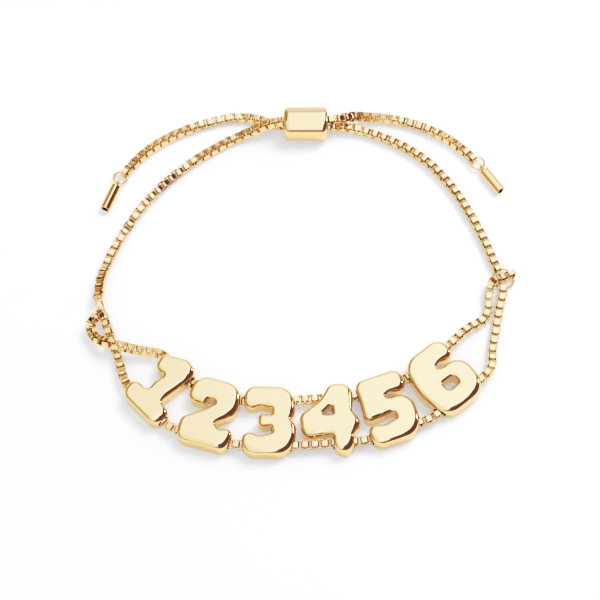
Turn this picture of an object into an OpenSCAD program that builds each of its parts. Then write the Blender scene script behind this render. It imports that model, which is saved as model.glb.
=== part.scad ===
// Nameplate bracelet: six bubble numerals on two strands of box chain, closed by a slider bead.
// Millimetres, +Z up. It lies on the plane z = 0 as it would on a table.
// The origin is on that plane, under the middle of the whole piece of jewellery.

/* [Numeral charms] */
// Height of a numeral
charm_h = 11.6; // [10.8:0.1:12.6]
// Thickness of a numeral, back to face
charm_t = 3; // [2.8:0.1:3.6]
// Radius of the rounded edge round the face
face_edge = 0.5; // [0.3:0.05:0.55]
// Softened edge round the flat back
back_edge = 0.2; // [0.1:0.05:0.3]
// Diameter of the two cross bores
bore_d = 2.1; // [2:0.05:2.2]
// Distance between the two bores of a numeral
bore_pitch = 7.8; // [7.6:0.1:8]

/* [Box chain] */
// Width of the chain across a link
chain_w = 1.5; // [1.4:0.05:1.55]
// Length of one link
link_l = 1.3; // [1.28:0.01:1.34]
// Thickness of the strip that a link is bent from
strip_t = 0.16; // [0.14:0.01:0.17]
// Width of that strip
strip_w = 0.9; // [0.8:0.05:0.9]
// Bevel at a link's outer corners
link_bevel = 0.25; // [0.1:0.05:0.35]
// Free play between two neighbouring links
link_play = 0.185; // [0.17:0.005:0.2]

/* [Rings] */
// Outer diameter of the two side rings
side_ring_d = 3.8; // [3.6:0.1:4]
// Outer diameter of the two end rings
end_ring_d = 2.5; // [2.45:0.05:2.8]
// Diameter of the rings' wire
ring_wire = 0.28; // [0.24:0.02:0.28]

/* [Slider bead] */
// Length along the chains
slider_l = 7.4; // [6.5:0.1:8.5]
// Depth across the chains
slider_w = 5.2; // [4.6:0.1:6]
// Height
slider_h = 4.9; // [4.7:0.1:5.6]
// Rounding of the long edges
slider_edge = 1.2; // [0.8:0.1:1.5]
// Rounding of the two ends, along the chains
slider_end = 0.4; // [0.2:0.05:0.45]
// Room round the two chains in the bead's hole
slider_play = 0.3; // [0.25:0.05:0.35]

/* [End caps] */
// Diameter of a cap
cap_d = 1.65; // [1.6:0.05:2]
// Length of a cap without its eye
cap_l = 4.8; // [4:0.1:6]
// Bore at the cap's open end
cap_bore_d = 1.1; // [0.9:0.05:1.2]
// Depth of that bore
cap_bore_l = 3; // [2:0.1:3.5]
// Inner diameter of the eye
eye_d = 0.8; // [0.76:0.02:0.9]

/* [Hidden] */

gold = "#E8C987";
smooth = 48;
clear = 0.12;

// The middle of the whole loop, in the plan that the lists of points below are drawn in
plan_mid = [0.41, 3.2];

// Columns of a corner: place across and along the numeral, and radius, as shares of the height
CX = 0;
CY = 1;
CR = 2;
one_rim = [[-.35, -.50, .14], [.35, -.50, .14], [.36, -.17, .11], [.13, -.22, .07], [.15, .10, .60],
    [.21, .48, .16], [-.06, .52, .18], [-.37, .33, .10], [-.30, .07, .10], [-.11, .15, .04],
    [-.15, -.04, .50], [-.12, -.22, .06], [-.37, -.17, .11]];
two_rim = [[-.37, -.50, .13], [.36, -.50, .14], [.39, -.12, .09], [.17, -.22, .09], [.08, -.14, .05],
    [.35, .07, .20], [.35, .50, .25], [-.34, .51, .23], [-.38, .11, .11], [-.11, .10, .07],
    [-.09, .21, .04], [.05, .18, .04], [-.08, .04, .30], [-.38, -.17, .14]];
three_rim = [[-.37, -.50, .18], [.35, -.50, .26], [.38, -.07, .13], [.29, .02, .04], [.36, .09, .12],
    [.35, .50, .25], [-.34, .51, .17], [-.36, .14, .11], [-.12, .22, .10], [.05, .19, .045],
    [.03, .075, .03], [-.15, .095, .07], [-.15, -.10, .07], [.03, -.075, .03], [.05, -.19, .045],
    [-.14, -.23, .10], [-.38, -.12, .11]];
four_rim = [[.00, -.50, .14], [.34, -.50, .15], [.29, -.25, .06], [.44, -.09, .12], [.30, .09, .06],
    [.35, .50, .16], [.01, .52, .16], [-.13, .28, .50], [-.43, .07, .11], [-.41, -.26, .14],
    [.02, -.22, .05]];
four_counter = [[-.15, .055, .03], [.04, .055, .03], [.03, .22, .03]];
five_rim = [[-.38, -.50, .17], [.35, -.50, .26], [.38, .13, .22], [.08, .12, .08], [-.01, .165, .025],
    [.10, .215, .10], [.36, .15, .11], [.35, .50, .14], [-.33, .50, .13], [-.34, .20, .60],
    [-.38, -.11, .10], [-.09, -.10, .07], [.06, -.075, .045], [.06, -.19, .045], [-.14, -.23, .10],
    [-.39, -.14, .11]];
six_rim = [[-.38, -.50, .28], [.39, -.50, .26], [.42, .13, .23], [.09, .12, .08], [-.02, .165, .025],
    [.10, .215, .10], [.36, .15, .10], [.36, .50, .18], [-.32, .51, .27], [-.43, .05, .70]];
six_counter = [[-.08, -.21, .05], [.13, -.20, .06], [.12, -.06, .06], [-.10, -.05, .06]];

// Columns of a charm: its turn in degrees, and the step to the next one as a share of the height
TURN = 0;
STEP = 1;
charms = [[-46, .76], [-15.5, .815], [-0.5, .855], [4, .81], [20, .90], [40, 0]];
first_charm = [-21.9, -16.6];
last = len(charms) - 1;

// The left side ring stands on edge and leans over to the left, the right one lies down
left_ring_at = [-32.7, -2.1, side_ring_d / 2 + clear / 2];
left_ring_turn = 105;
left_ring_lean = 18;
right_ring_at = [33.6, 3.6, 0.6];

// Where a link is hooked on a side ring: the angle round the ring, and how far the link swings
// out of the ring's plane, 180 for one that comes from inside
ANGLE = 0;
SWING = 1;
left_hook = [-5, -20];
upper_hook = [148, 55];
lower_hook = [198, 0];
right_hook = [118, 0];
upper_end_hook = [28, 180];
lower_end_hook = [266, 0];
straight_run = 1.3;
right_lift = 0.25;

// Chosen points of the four chains' routes, as [x, y, z] in the plan
left_points = [[-32.85, 2.9, 1.55], [-32.3, 5.1, 1.05], [-31.4, 7.7, .85], [-29.6, 11.6, .85],
    [-26.7, 16.6, .85], [-22.9, 21.2, .85], [-18.2, 25.4, .85], [-12.8, 28.9, .85], [-10.2, 30.2, .95],
    [-7.8, 30.9, 1.9], [-5.2, 31.5, 3.1]];
left_tail_points = [[7.0, 32.5, 3.1], [9.2, 33.4, 2.3], [11.6, 33.8, 1.2], [14.5, 33.8, .85],
    [19.2, 32.8, .85], [24.0, 30.6, .85], [27.3, 28.0, .85], [29.2, 26.0, .85]];
right_points = [[31.2, 9.2, .85], [29.0, 14.4, .85], [25.9, 20.2, .85], [21.6, 25.6, .85],
    [16.0, 29.3, .85], [10.5, 31.4, .85], [7.0, 31.85, 1.35]];
right_tail_points = [[-4.9, 32.3, 1.4], [-7.6, 33.7, .9], [-11.6, 34.0, .85], [-16.4, 32.7, .85],
    [-22.0, 30.3, .85], [-26.3, 27.2, .85], [-29.5, 23.3, .85]];
upper_left_points = [[-34.2, -5.7, 2.3], [-34.0, -6.8, 1.7], [-33.1, -7.9, 1.9], [-31.9, -8.7, 2.6],
    [-30.4, -9.1, 2.7], [-27.4, -9.8, 2.2], [-24.8, -10.0, 1.5]];
lower_left_points = [[-31.3, -5.9, .95], [-30.9, -7.2, .85], [-30.2, -9.2, .85], [-29.4, -11.5, .85],
    [-28.9, -13.6, 1.1]];
upper_right_points = [[26.5, -6.6, 1.5], [28.2, -5.2, 1.1], [29.9, -4.3, .85], [30.8, -3.0, .85],
    [31.0, -1.4, .85], [31.0, .3, 1.2], [31.3, 1.6, 1.9], [31.8, 2.55, 2], [32.55, 3, 1.45]];
lower_right_points = [[31.2, -12.6, 1.3], [31.2, -10.0, .9], [31.8, -7.0, .85], [32.3, -4.2, .85],
    [32.9, -1.2, .85]];
slider_at = [0.95, 31.9];

// Bends of the routes, rounded over at most this length on either side
chain_bend = 3;
strand_bend = 1.4;
bend_steps = 6;
mouth_room = 0.6;
lane_room = 0.28;
wire_room = 0.12;

/* Lengths that follow from the sizes above */
bore_y = bore_pitch / 2;
bore_z = charm_t / 2;
link_pitch = link_l - 2 * strip_t - link_play;
hook_room = link_l / 2 - strip_t - ring_wire / 2 - wire_room;
side_ring_r = (side_ring_d - ring_wire) / 2;
end_ring_r = (end_ring_d - ring_wire) / 2;
lane_gap = chain_w + lane_room;
slot_share = 0.9;
slider_hole_w = chain_w + 2 * slider_play;
slider_hole_h = lane_gap + chain_w + 2 * slider_play;
slider_mid_z = slider_h / 2;

/* Plane geometry of the numerals */
function heading(a) = [cos(a), sin(a)];
function unit(v) = v / norm(v);
function left_of(d) = [-d[1], d[0]];
function turned(p, a) = [p[0] * cos(a) - p[1] * sin(a), p[0] * sin(a) + p[1] * cos(a)];
function bend_of(d, e) = atan2(d[0] * e[1] - d[1] * e[0], d * e);

// The arc that rounds corner b between a and c, moved in by inset, in steps of about arc_step degrees
arc_step = 22;
function corner_arc(a, b, c, radius, inset) =
    let (d = unit(b - a), e = unit(c - b), bend = bend_of(d, e), way = bend > 0 ? 1 : -1)
    let (n = left_of(d), m = left_of(e), r = radius - way * inset)
    let (tip = b + inset * (n + m) / (1 + n * m), mid = tip - d * r * tan(abs(bend) / 2) + way * r * n)
    let (steps = max(1, ceil(abs(bend) / arc_step)))
    [for (i = [0 : steps]) mid + turned(-way * r * n, bend * i / steps)];

function corner_at(rim, size, i) = let (c = rim[(i + len(rim)) % len(rim)]) size * [c[CX], c[CY]];

function rim_points(rim, size, inset) =
    [for (i = [0 : len(rim) - 1])
        each corner_arc(corner_at(rim, size, i - 1), corner_at(rim, size, i), corner_at(rim, size, i + 1),
            rim[i][CR] * size, inset)];

// Levels of a rounded edge that ends at this height: height and inset
edge_steps = 3;
function edge_rows(top, radius) =
    [for (i = [0 : edge_steps]) let (a = 90 * i / edge_steps)
        [top - radius * (1 - sin(a)), radius * (1 - cos(a))]];

// Levels of a numeral from back to face
levels = concat([[0, back_edge], [back_edge, 0]], edge_rows(charm_t, face_edge));

// A solid through the levels, which draw its outline in, or with a way of -1 widen it
module loft(rim, size, rows, way = 1) {
    rings = [for (row = rows) [for (p = rim_points(rim, size, way * row[1])) [p[0], p[1], row[0]]]];
    n = len(rings[0]);
    top = (len(rings) - 1) * n;
    walls = [for (k = [0 : len(rings) - 2], i = [0 : n - 1])
        [k * n + i, (k + 1) * n + i, (k + 1) * n + (i + 1) % n, k * n + (i + 1) % n]];
    polyhedron(
        points = [for (ring = rings) each ring],
        faces = concat([[for (i = [0 : n - 1]) i]], walls, [[for (i = [n - 1 : -1 : 0]) top + i]]));
}

// A counter is cut by a loft that widens to the same edges, carried on below the back and above the face
module blank(rim, counters) {
    through = concat([[-charm_t, back_edge]], levels, [[2 * charm_t, face_edge]]);
    resize([0, 0, charm_t])
        difference() {
            loft(rim, charm_h, levels);
            for (counter = counters) loft(counter, charm_h, through, -1);
        }
}

module numeral(i, rim, counters = []) {
    bore_l = 2 * charm_h;
    color(gold)
        translate(concat(charm_at(i), 0))
            rotate(charms[i][TURN])
                difference() {
                    blank(rim, counters);
                    for (side = [-1, 1])
                        translate([-bore_l / 2, side * bore_y, bore_z])
                            rotate([0, 90, 0]) cylinder(d = bore_d, h = bore_l, $fn = smooth);
                }
}

/* Where the numerals stand, and the line of each strand through their bores */
function charm_at(i) = i == 0 ? first_charm - plan_mid
    : charm_at(i - 1) + charms[i - 1][STEP] * charm_h
        * heading((charms[i - 1][TURN] + charms[i][TURN]) / 2);

function in_charm(i, x, side) =
    let (p = charm_at(i) + turned([x, side * bore_y], charms[i][TURN])) [p[0], p[1], bore_z];

// The axes of two neighbours' bores meet half way between them
function meeting(i, side) =
    let (half = (charms[i + 1][TURN] - charms[i][TURN]) / 2, reach = charms[i][STEP] * charm_h / 2)
    in_charm(i, (reach - side * bore_y * sin(half)) / cos(half), side);

function rim_reach(rim, way) = max([for (c = rim) way * c[CX]]) * charm_h + mouth_room;

function bore_line(side) = concat(
    [in_charm(0, -rim_reach(one_rim, -1), side)],
    [for (i = [0 : last - 1]) meeting(i, side)],
    [in_charm(last, rim_reach(six_rim, 1), side)]);

/* Routes: chosen points, the points that follow from the pieces, and their rounded bends */
function placed(points) = [for (p = points) [p[0] - plan_mid[0], p[1] - plan_mid[1], p[2]]];

// A side ring's middle, the two axes in its plane, and its normal
left_ring_side = heading(left_ring_turn + 90);
left_ring = [placed([left_ring_at])[0],
    concat(heading(left_ring_turn), 0),
    concat(left_ring_side * sin(left_ring_lean), cos(left_ring_lean)),
    concat(left_ring_side * cos(left_ring_lean), -sin(left_ring_lean))];
right_ring = [placed([right_ring_at])[0], [1, 0, 0], [0, 1, 0], [0, 0, 1]];

// A strip that is flat across the wire leaves this much of the room to the wire's bend
function sag(r) = let (face = r - ring_wire / 2) face - sqrt(face * face - strip_w * strip_w / 4);

function spoke(ring, hook) = ring[1] * cos(hook[ANGLE]) + ring[2] * sin(hook[ANGLE]);
function wire_way(ring, hook) = ring[2] * cos(hook[ANGLE]) - ring[1] * sin(hook[ANGLE]);
function hook_way(ring, hook) = spoke(ring, hook) * cos(hook[SWING]) + ring[3] * sin(hook[SWING]);

// The centre of the hooked link, and the point that keeps the next links in line with it
function hooked(ring, hook, lift = 0) =
    let (rest = hook_room - max(0, cos(hook[SWING])) * sag(side_ring_r))
    [for (out = [0, straight_run])
        ring[0] + side_ring_r * spoke(ring, hook) + (rest + out) * hook_way(ring, hook) + [0, 0, lift]];
function hooked_last(ring, hook, lift = 0) = let (p = hooked(ring, hook, lift)) [p[1], p[0]];

// The roll of a link whose opening is on the wire
function hook_roll(ring, hook) =
    let (way = hook_way(ring, hook), axis = wire_way(ring, hook))
    let (side = unit([-way[1], way[0], 0]), up = cross(way, side))
    atan2(-axis * side, axis * up);

function lane(side, level) =
    placed([[slider_at[0] + side * slider_l / 2, slider_at[1], slider_mid_z + level * lane_gap / 2]])[0];

left_route = concat(hooked(left_ring, left_hook), placed(left_points), [lane(-1, 1), lane(1, 1)],
    placed(left_tail_points));
right_route = concat(hooked(right_ring, right_hook, right_lift), placed(right_points),
    [lane(1, -1), lane(-1, -1)], placed(right_tail_points));
upper_route = concat(hooked(left_ring, upper_hook), placed(upper_left_points), bore_line(1),
    placed(upper_right_points), hooked_last(right_ring, upper_end_hook, right_lift));
lower_route = concat(hooked(left_ring, lower_hook), placed(lower_left_points), bore_line(-1),
    placed(lower_right_points), hooked_last(right_ring, lower_end_hook, right_lift));
upright = 90;
left_rolls = [hook_roll(left_ring, left_hook), upright];
right_rolls = [upright, upright];
upper_rolls = [hook_roll(left_ring, upper_hook), upright];
lower_rolls = [hook_roll(left_ring, lower_hook), upright];

function bezier(a, b, c, t) = (1 - t) * (1 - t) * a + 2 * t * (1 - t) * b + t * t * c;

function rounded_route(points, reach) = concat([points[0]],
    [for (i = [1 : len(points) - 2])
        let (b = points[i], back = points[i - 1] - b, on = points[i + 1] - b)
        let (cut = min(reach, norm(back) / 2, norm(on) / 2))
        for (k = [0 : bend_steps])
            bezier(b + unit(back) * cut, b, b + unit(on) * cut, k / bend_steps)],
    [points[len(points) - 1]]);

function lengths(points) =
    [for (i = 0, s = 0; i < len(points); i = i + 1, s = s + norm(points[min(i, len(points) - 1)]
        - points[i - 1])) s];

// A track gives the place at any length along a route
function track(points) = let (s = lengths(points))
    [for (axis = [0 : 2]) [for (i = [0 : len(points) - 1]) [s[i], points[i][axis]]]];
function track_length(line) = line[0][len(line[0]) - 1][0];
function along(line, s) = [for (axis = [0 : 2]) lookup(s, line[axis])];

/* One link of box chain, lengthwise along X, with its opening along Z */
module link() {
    hl = link_l / 2;
    hw = chain_w / 2;
    il = hl - strip_t;
    iw = hw - strip_t;
    outer = [[hl - link_bevel, hw], [-hl + link_bevel, hw], [-hl, hw - link_bevel],
        [-hl, -hw + link_bevel], [-hl + link_bevel, -hw], [hl - link_bevel, -hw],
        [hl, -hw + link_bevel], [hl, hw - link_bevel]];
    inner = [[il, iw], [-il, iw], [-il, -iw], [il, -iw]];
    linear_extrude(height = strip_w, center = true)
        polygon(
            points = concat(outer, inner),
            paths = [[for (i = [0 : len(outer) - 1]) i],
                [for (i = [0 : len(inner) - 1]) len(outer) + i]]);
}

// Links are counted from the route's start. Each is turned a quarter against the one before,
// and the whole chain twists evenly from its first roll to its last one.
module links(line, count, which, rolls) {
    pitch = track_length(line) / (count - 1);
    twist = rolls[1] - rolls[0] - 90 * (count - 1);
    even = twist - 180 * round(twist / 180);
    for (i = which) {
        ahead = along(line, i * pitch + link_pitch / 2) - along(line, i * pitch - link_pitch / 2);
        translate(along(line, i * pitch))
            rotate([0, -asin(ahead[2] / norm(ahead)), atan2(ahead[1], ahead[0])])
                rotate([rolls[0] + 90 * i + even * i / (count - 1), 0, 0]) link();
    }
}

// An odd or an even count, whichever needs less twist between the two rolls
function link_count(line, rolls) =
    let (odd = abs(round((rolls[1] - rolls[0]) / 90)) % 2)
    2 * round((track_length(line) / link_pitch - odd) / 2) + odd + 1;

module chain(points, rolls) {
    line = track(rounded_route(points, chain_bend));
    count = link_count(line, rolls);
    color(gold) links(line, count, [0 : count - 1], rolls);
}

// A strand is a plain tube with real links at both ends, where it is hooked on its rings
tube_sides = 8;
tube_room = 0.34;
end_links = 2;
module strand(points, rolls) {
    line = track(rounded_route(points, strand_bend));
    count = link_count(line, rolls);
    start = (end_links - 1) * track_length(line) / (count - 1) + link_l / 2 + tube_room;
    stop = track_length(line) - start;
    far = lengths(points);
    inner = [for (i = [1 : len(points) - 2])
        if (far[i] > start + chain_w / 2 && far[i] < stop - chain_w / 2) points[i]];
    color(gold) {
        tube(concat([along(line, start)], inner, [along(line, stop)]));
        links(line, count, [0 : end_links - 1], rolls);
        links(line, count, [count - end_links : count - 1], rolls);
    }
}

module tube(centres) {
    n = len(centres);
    rings = [for (i = [0 : n - 1])
        let (d = unit(centres[min(i + 1, n - 1)] - centres[max(i - 1, 0)]))
        let (side = unit(cross([0, 0, 1], d)), up = cross(d, side))
        [for (k = [0 : tube_sides - 1]) let (a = 360 * (k + 0.5) / tube_sides)
            centres[i] + chain_w / 2 * (side * cos(a) + up * sin(a))]];
    top = (n - 1) * tube_sides;
    walls = [for (i = [0 : n - 2], k = [0 : tube_sides - 1])
        let (next = (k + 1) % tube_sides)
        [i * tube_sides + k, (i + 1) * tube_sides + k, (i + 1) * tube_sides + next, i * tube_sides + next]];
    polyhedron(
        points = [for (ring = rings) each ring],
        faces = concat([[for (k = [0 : tube_sides - 1]) k]], walls,
            [[for (k = [tube_sides - 1 : -1 : 0]) top + k]]));
}

/* Rings, slider and end caps */
module ring(diameter) {
    rotate_extrude($fn = smooth)
        translate([(diameter - ring_wire) / 2, 0]) circle(d = ring_wire, $fn = smooth);
}

module left_side_ring() {
    color(gold) translate(left_ring[0])
        rotate([90 - left_ring_lean, 0, left_ring_turn]) ring(side_ring_d);
}

module right_side_ring() {
    color(gold) translate(right_ring[0]) ring(side_ring_d);
}

// What hangs on a chain's last link: the way on from the route's end, and the heading of the cap
left_cap_turn = 248;
right_cap_turn = 305;
function end_of(route) = route[len(route) - 1];
function end_ring_at(route) =
    let (n = len(route), way = unit(route[n - 1] - route[n - 2]))
    end_of(route) + (hook_room - sag(end_ring_r) + end_ring_r) * [way[0], way[1], 0];
function eye_at(route, turn) =
    let (d = heading(turn) * (end_ring_r + eye_d / 2 - ring_wire / 2 - clear))
    end_ring_at(route) + [d[0], d[1], 0];

module end_ring(route) {
    color(gold) translate(end_ring_at(route)) ring(end_ring_d);
}

module end_cap(route, turn) {
    eye_r = (eye_d + ring_wire) / 2;
    neck = eye_r - ring_wire / 2;
    shoulder = 0.15;
    color(gold)
        translate(eye_at(route, turn)) rotate(turn) {
            rotate([90, 0, 0])
                rotate_extrude($fn = smooth) translate([eye_r, 0]) circle(d = ring_wire, $fn = smooth);
            translate([neck, 0, 0]) rotate([0, 90, 0])
                rotate_extrude($fn = smooth)
                    polygon([[0, 0], [cap_d / 2 - shoulder, 0], [cap_d / 2, shoulder],
                        [cap_d / 2, cap_l - shoulder / 2], [cap_d / 2 - shoulder / 2, cap_l],
                        [cap_bore_d / 2, cap_l], [cap_bore_d / 2, cap_l - cap_bore_l],
                        [0, cap_l - cap_bore_l]]);
        }
}

module slider_bead() {
    rim = [for (way = [[-1, -1], [1, -1], [1, 1], [-1, 1]])
        [way[0] * slider_w / 2, way[1] * slider_h / 2, slider_edge]];
    near_end = edge_rows(slider_l / 2, slider_end);
    far_end = [for (i = [len(near_end) - 1 : -1 : 0]) [-near_end[i][0], near_end[i][1]]];
    lane_r = slider_hole_w / 2;
    lane_at = slider_hole_h / 2 - lane_r;
    color(gold)
        translate(placed([concat(slider_at, slider_mid_z)])[0])
            rotate([90, 0, 90])
                difference() {
                    loft(rim, 1, concat(far_end, near_end));
                    for (level = [-1, 1])
                        translate([0, level * lane_at, -slider_l])
                            cylinder(r = lane_r, h = 2 * slider_l, $fn = smooth);
                    cube([slot_share * slider_hole_w, 2 * lane_at, 2 * slider_l], center = true);
                }
}

module charm_one() { numeral(0, one_rim); }
module charm_two() { numeral(1, two_rim); }
module charm_three() { numeral(2, three_rim); }
module charm_four() { numeral(3, four_rim, [four_counter]); }
module charm_five() { numeral(4, five_rim); }
module charm_six() { numeral(5, six_rim, [six_counter]); }
module upper_strand() { strand(upper_route, upper_rolls); }
module lower_strand() { strand(lower_route, lower_rolls); }
module left_chain() { chain(left_route, left_rolls); }
module right_chain() { chain(right_route, right_rolls); }
module left_end_ring() { end_ring(right_route); }
module right_end_ring() { end_ring(left_route); }
module left_end_cap() { end_cap(right_route, left_cap_turn); }
module right_end_cap() { end_cap(left_route, right_cap_turn); }

charm_one();
charm_two();
charm_three();
charm_four();
charm_five();
charm_six();
upper_strand();
lower_strand();
left_chain();
right_chain();
slider_bead();
left_side_ring();
right_side_ring();
left_end_ring();
right_end_ring();
left_end_cap();
right_end_cap();
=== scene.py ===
"""Looks of the nameplate bracelet: six bubble numerals on box chain, closed by a slider bead.

Sizes are in millimetres, in the frame of the CAD model, and become metres when a mesh is made.
Angles are in degrees. The floor, light and camera are given in metres.
"""
import math
import random

import bmesh
import bpy
import numpy as np
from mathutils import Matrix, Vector
from mathutils.geometry import tessellate_polygon


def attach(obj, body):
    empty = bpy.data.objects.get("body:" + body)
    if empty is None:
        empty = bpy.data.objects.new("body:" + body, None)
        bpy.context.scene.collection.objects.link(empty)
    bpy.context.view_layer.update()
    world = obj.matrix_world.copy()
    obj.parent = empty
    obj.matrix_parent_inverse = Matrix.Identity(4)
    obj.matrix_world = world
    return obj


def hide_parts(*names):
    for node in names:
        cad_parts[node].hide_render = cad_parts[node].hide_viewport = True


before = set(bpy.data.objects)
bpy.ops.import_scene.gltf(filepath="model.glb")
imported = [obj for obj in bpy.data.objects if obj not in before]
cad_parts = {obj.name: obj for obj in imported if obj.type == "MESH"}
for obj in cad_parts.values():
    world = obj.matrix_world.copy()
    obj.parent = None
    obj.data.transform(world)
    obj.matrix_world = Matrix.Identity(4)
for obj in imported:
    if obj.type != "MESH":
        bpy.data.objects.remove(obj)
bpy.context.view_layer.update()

MM = 0.001
BODY = "root"

# The CAD model's sizes
CHARM_H, CHARM_T, BORE_PITCH = 11.6, 3.0, 7.8
CHAIN_W, LINK_L, STRIP_T, STRIP_W, LINK_PLAY = 1.5, 1.3, 0.16, 0.9, 0.185
SIDE_RING_D, END_RING_D, RING_WIRE = 3.8, 2.5, 0.28
SLIDER_L, SLIDER_H, SLIDER_PLAY = 7.4, 4.9, 0.3
CAP_L, CAP_BORE_D, CAP_BORE_L, EYE_D = 4.8, 1.1, 3.0, 0.8
CLEAR, WIRE_ROOM, LANE_ROOM, MOUTH_ROOM = 0.12, 0.12, 0.28, 0.6
PLAN_MID = np.array([0.41, 3.2, 0])

# Sizes that differ a little from the CAD model's, to look like the photo: it has a bore of 2.1,
# a bead 5.2 wide with edges of 1.2, wire of 0.28 and caps of 1.65
BORE_D, CAP_D, WIRE, EYE_WIRE = 1.9, 1.72, 0.36, 0.3
BEAD_W, BEAD_EDGE = 5.4, 2.0

# Corners of the numerals: place across and along, and radius, as shares of the height
RIMS = {
    "charm_one": [
        (-.35, -.50, .14), (.35, -.50, .14), (.36, -.17, .11), (.13, -.22, .07), (.15, .10, .60),
        (.21, .48, .16), (-.06, .52, .18), (-.37, .33, .10), (-.30, .07, .10), (-.11, .15, .04),
        (-.15, -.04, .50), (-.12, -.22, .06), (-.37, -.17, .11)],
    "charm_two": [
        (-.37, -.50, .13), (.36, -.50, .14), (.39, -.12, .09), (.17, -.22, .09), (.08, -.14, .05),
        (.35, .07, .20), (.35, .50, .25), (-.34, .51, .23), (-.38, .11, .11), (-.11, .10, .07),
        (-.09, .21, .04), (.05, .18, .04), (-.08, .04, .30), (-.38, -.17, .14)],
    "charm_three": [
        (-.37, -.50, .18), (.35, -.50, .26), (.38, -.07, .13), (.29, .02, .04), (.36, .09, .12),
        (.35, .50, .25), (-.34, .51, .17), (-.36, .14, .11), (-.12, .22, .10), (.05, .19, .045),
        (.03, .075, .03), (-.15, .095, .07), (-.15, -.10, .07), (.03, -.075, .03), (.05, -.19, .045),
        (-.14, -.23, .10), (-.38, -.12, .11)],
    "charm_four": [
        (.00, -.50, .14), (.34, -.50, .15), (.29, -.25, .06), (.44, -.09, .12), (.30, .09, .06),
        (.35, .50, .16), (.01, .52, .16), (-.13, .28, .50), (-.43, .07, .11), (-.41, -.26, .14),
        (.02, -.22, .05)],
    "charm_five": [
        (-.38, -.50, .17), (.35, -.50, .26), (.38, .13, .22), (.08, .12, .08), (-.01, .165, .025),
        (.10, .215, .10), (.36, .15, .11), (.35, .50, .14), (-.33, .50, .13), (-.34, .20, .60),
        (-.38, -.11, .10), (-.09, -.10, .07), (.06, -.075, .045), (.06, -.19, .045), (-.14, -.23, .10),
        (-.39, -.14, .11)],
    "charm_six": [
        (-.38, -.50, .28), (.39, -.50, .26), (.42, .13, .23), (.09, .12, .08), (-.02, .165, .025),
        (.10, .215, .10), (.36, .15, .10), (.36, .50, .18), (-.32, .51, .27), (-.43, .05, .70)],
}
COUNTERS = {
    "charm_four": [(-.15, .055, .03), (.04, .055, .03), (.03, .22, .03)],
    "charm_six": [(-.08, -.21, .05), (.13, -.20, .06), (.12, -.06, .06), (-.10, -.05, .06)],
}
# Turn of each charm in degrees, and the step to the next one as a share of the height
CHARMS = [(-46, .76), (-15.5, .815), (-.5, .855), (4, .81), (20, .90), (40, 0)]
FIRST_CHARM = np.array([-21.9, -16.6])

# The routes' chosen points, in the plan that PLAN_MID is the middle of
LEFT_POINTS = [
    (-32.85, 2.9, 1.55), (-32.3, 5.1, 1.05), (-31.4, 7.7, .85), (-29.6, 11.6, .85), (-26.7, 16.6, .85),
    (-22.9, 21.2, .85), (-18.2, 25.4, .85), (-12.8, 28.9, .85), (-10.2, 30.2, .95), (-7.8, 30.9, 1.9),
    (-5.2, 31.5, 3.1)]
LEFT_TAIL_POINTS = [
    (7.0, 32.5, 3.1), (9.2, 33.4, 2.3), (11.6, 33.8, 1.2), (14.5, 33.8, .85), (19.2, 32.8, .85),
    (24.0, 30.6, .85), (27.3, 28.0, .85), (29.2, 26.0, .85)]
RIGHT_POINTS = [
    (31.2, 9.2, .85), (29.0, 14.4, .85), (25.9, 20.2, .85), (21.6, 25.6, .85), (16.0, 29.3, .85),
    (10.5, 31.4, .85), (7.0, 31.85, 1.35)]
RIGHT_TAIL_POINTS = [
    (-4.9, 32.3, 1.4), (-7.6, 33.7, .9), (-11.6, 34.0, .85), (-16.4, 32.7, .85), (-22.0, 30.3, .85),
    (-26.3, 27.2, .85), (-29.5, 23.3, .85)]
UPPER_LEFT_POINTS = [
    (-34.2, -5.7, 2.3), (-34.0, -6.8, 1.7), (-33.1, -7.9, 1.9), (-31.9, -8.7, 2.6), (-30.4, -9.1, 2.7),
    (-27.4, -9.8, 2.2), (-24.8, -10.0, 1.5)]
LOWER_LEFT_POINTS = [
    (-31.3, -5.9, .95), (-30.9, -7.2, .85), (-30.2, -9.2, .85), (-29.4, -11.5, .85), (-28.9, -13.6, 1.1)]
UPPER_RIGHT_POINTS = [
    (26.5, -6.6, 1.5), (28.2, -5.2, 1.1), (29.9, -4.3, .85), (30.8, -3.0, .85), (31.0, -1.4, .85),
    (31.0, .3, 1.2), (31.3, 1.6, 1.9), (31.8, 2.55, 2.0), (32.55, 3.0, 1.45)]
LOWER_RIGHT_POINTS = [
    (31.2, -12.6, 1.3), (31.2, -10.0, .9), (31.8, -7.0, .85), (32.3, -4.2, .85), (32.9, -1.2, .85)]
SLIDER_AT = (0.95, 31.9)
CHAIN_BEND, STRAND_BEND, BEND_STEPS = 3, 1.4, 6

# Side rings: middle, turn and lean. Hooks: angle round the ring and swing out of its plane
LEFT_RING_AT, LEFT_RING_TURN, LEFT_RING_LEAN = (-32.7, -2.1, SIDE_RING_D / 2 + CLEAR / 2), 105, 18
RIGHT_RING_AT = (33.6, 3.6, 0.6)
LEFT_HOOK, UPPER_HOOK, LOWER_HOOK = (-5, -20), (148, 55), (198, 0)
RIGHT_HOOK, UPPER_END_HOOK, LOWER_END_HOOK = (118, 0), (28, 180), (266, 0)
STRAIGHT_RUN, RIGHT_LIFT, UPRIGHT = 1.3, 0.25, 90
LEFT_CAP_TURN, RIGHT_CAP_TURN = 248, 305

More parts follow.
